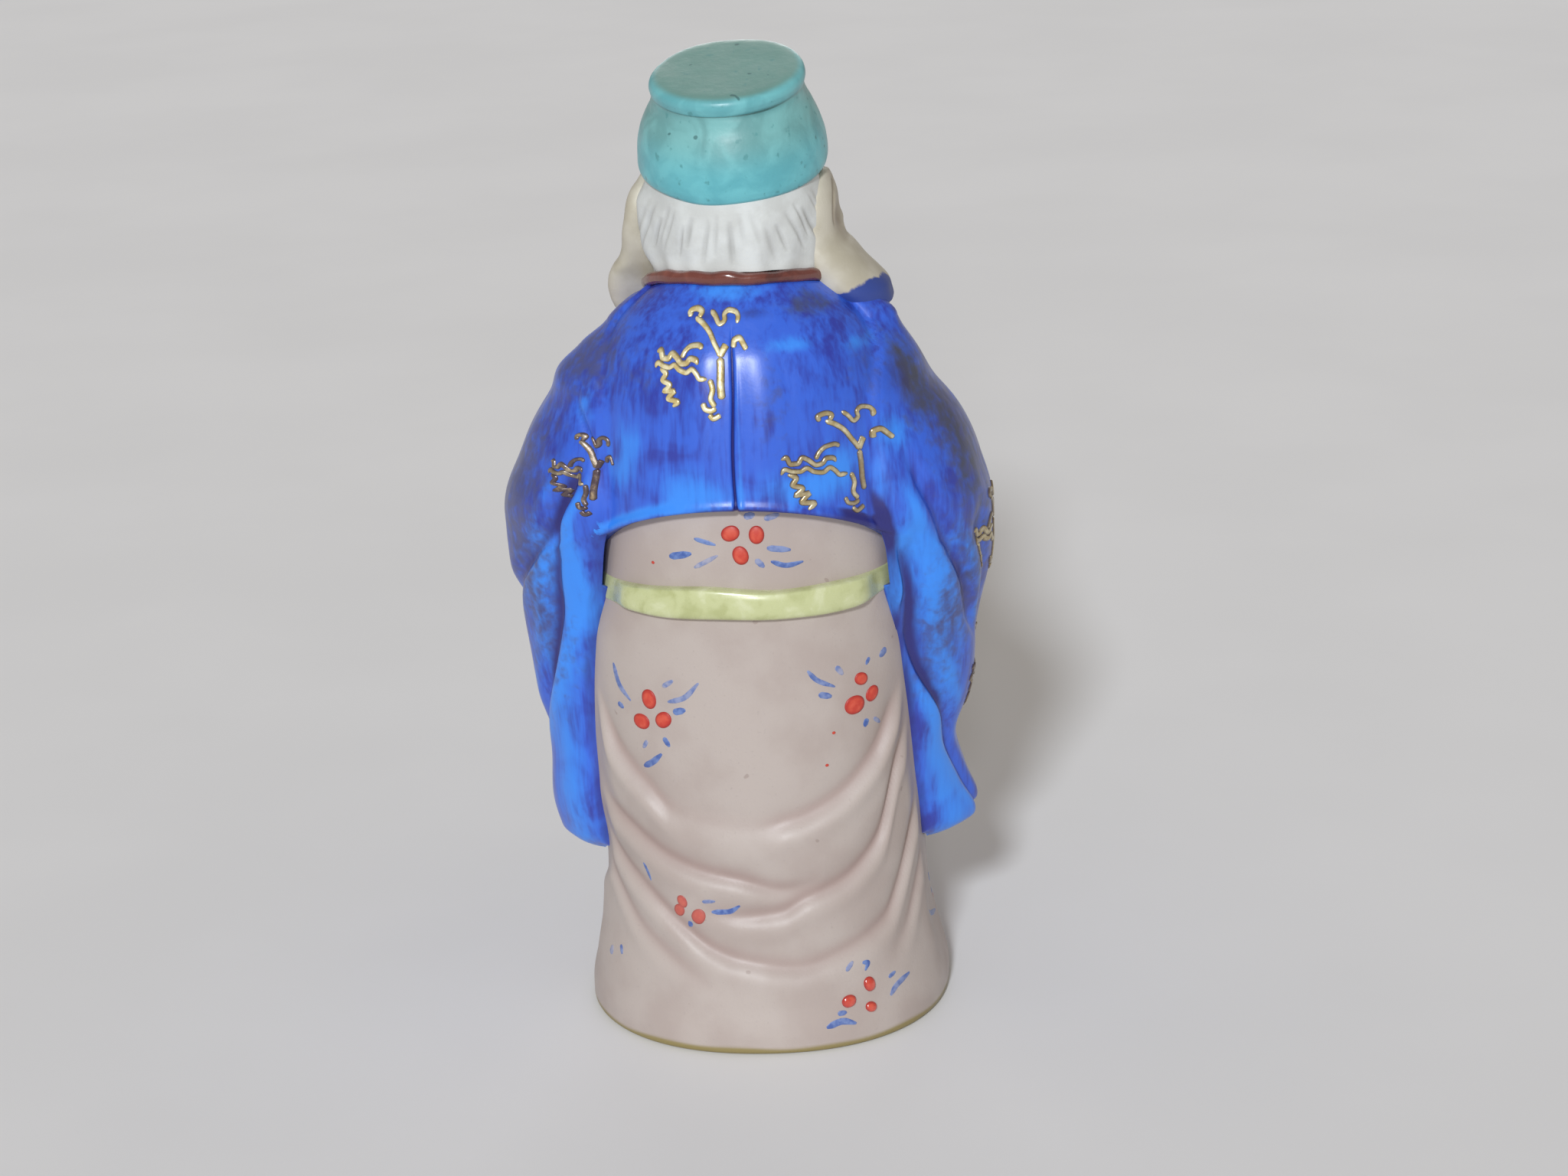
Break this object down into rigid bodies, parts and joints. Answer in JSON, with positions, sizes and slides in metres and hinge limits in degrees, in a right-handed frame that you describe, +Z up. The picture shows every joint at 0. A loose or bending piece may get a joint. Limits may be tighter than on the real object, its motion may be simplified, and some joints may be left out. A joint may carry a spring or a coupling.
{
  "type": "porcelain sage figurine",
  "caption": "Standing robed sage in painted bisque porcelain, with a flat-topped cap, long ear lobes, a belted robe and wide hanging sleeves. A shelf ornament on an open foot.",
  "frame": {"origin": "middle of the figure's bounding box, on the surface that it stands on", "axes": "+Z up, the figure faces -Y, +X to its left hand"},
  "size_m": [0.0584, 0.0486, 0.117],
  "materials": {
    "pink_bisque": "satin pink bisque",
    "cobalt_blue": "brushed cobalt enamel, satin",
    "belt_yellow_green": "thin gloss enamel",
    "collar_red_brown": "gloss enamel",
    "ivory_skin": "bare ivory bisque",
    "white_hair": "matt white bisque with grey in the grooves",
    "hat_turquoise": "satin turquoise enamel",
    "shoe_dark": "satin dark enamel"
  },
  "bodies": {
    "root": {"robe_shell": "pink_bisque", "belt_band": "belt_yellow_green", "sash_knot": "belt_yellow_green", "left_sash_tail": "belt_yellow_green", "right_sash_tail": "belt_yellow_green", "jacket_shell": "cobalt_blue", "left_sleeve": "cobalt_blue", "right_sleeve": "cobalt_blue", "left_cuff": "collar_red_brown", "right_cuff": "collar_red_brown", "neck_collar": "collar_red_brown", "left_lapel": "collar_red_brown", "right_lapel": "collar_red_brown", "head": "ivory_skin", "left_ear": "ivory_skin", "right_ear": "ivory_skin", "back_hair": "white_hair", "beard": "white_hair", "left_moustache": "white_hair", "right_moustache": "white_hair", "left_eyebrow": "white_hair", "right_eyebrow": "white_hair", "hat_crown": "hat_turquoise", "hat_top_disc": "hat_turquoise", "left_shoe": "shoe_dark", "right_shoe": "shoe_dark"}
  },
  "joints": []
}
